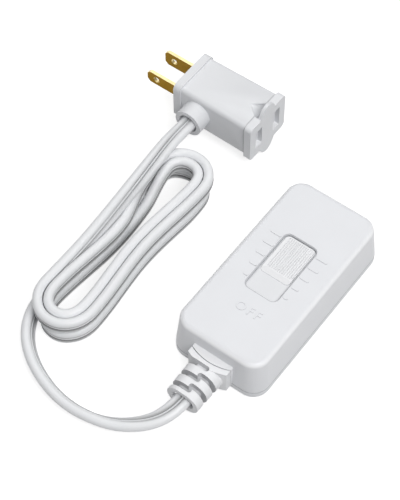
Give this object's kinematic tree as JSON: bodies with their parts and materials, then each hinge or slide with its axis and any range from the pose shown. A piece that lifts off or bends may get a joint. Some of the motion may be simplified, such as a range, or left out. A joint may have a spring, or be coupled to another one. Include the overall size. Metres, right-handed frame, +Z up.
{
  "type": "plug in dimmer",
  "caption": "Table-top slider dimmer for a lamp: white box with a windowed slide knob on a flat cord that ends in a plug with an outlet in its back",
  "frame": {"origin": "centre of the box's underside, on the table", "axes": "+Y along the box, away from its cord; +Z up out of the slider's face; +X to the right of the box, away from the plug"},
  "size_m": [0.128, 0.1643, 0.0304],
  "materials": {
    "cover_white": "white ABS, satin",
    "knob_white": "white ABS, semi-gloss",
    "plug_white": "white moulded vinyl, satin",
    "relief_white": "white flexible vinyl",
    "cord_white": "white flexible vinyl",
    "zinc_steel": "zinc-plated steel",
    "board": "phenolic board with solder mask",
    "pot_black": "black moulding",
    "carbon": "carbon track on phenolic",
    "sink_aluminium": "bare aluminium sheet",
    "tinned": "tinned copper",
    "core_yellow": "coated iron powder ring",
    "copper_enamel": "enamelled copper wire",
    "cap_yellow": "film capacitor case",
    "cap_green": "dipped film capacitor",
    "resistor_tan": "lacquered carbon film resistor",
    "diac_red": "glass diac",
    "brass": "bare brass",
    "carrier_grey": "grey nylon",
    "button_white": "white acetal"
  },
  "bodies": {
    "box": {"top_cover": "cover_white", "bottom_cover": "cover_white", "cover_screws": "zinc_steel", "circuit_board": "board", "board_screws": "zinc_steel", "potentiometer_body": "pot_black", "potentiometer_track": "carbon", "off_switch": "pot_black", "heat_sink": "sink_aluminium", "triac_case": "pot_black", "triac_tab": "tinned", "triac_legs": "tinned", "heat_sink_rivet": "sink_aluminium", "choke_core": "core_yellow", "choke_winding": "copper_enamel", "noise_capacitor": "cap_yellow", "timing_capacitor": "cap_green", "resistor": "resistor_tan", "diac": "diac_red", "strain_relief": "relief_white", "cord_entry": "cord_white", "terminals": "brass", "cord_cores": "cord_white", "cord_hank": "cord_white", "cord_lead_plug": "cord_white", "cord_lead_box": "cord_white", "plug_body": "plug_white", "outlet_insert": "plug_white", "contact_hot": "brass", "contact_neutral": "brass", "blade_carrier": "carrier_grey", "blade_hot": "brass", "blade_neutral": "brass"},
    "slider": {"slider_knob": "knob_white", "slider_shutter": "knob_white", "slider_carrier": "carrier_grey", "wiper": "brass"},
    "off_button": {"switch_button": "button_white"}
  },
  "joints": [
    {"name": "slider_travel", "type": "slide", "parent": "box", "child": "slider", "axis": [0, -1, 0], "range_m": [0, 0.0097]},
    {"name": "off_button_press", "type": "slide", "parent": "box", "child": "off_button", "axis": [0, -1, 0], "range_m": [0, 0.0006]}
  ]
}
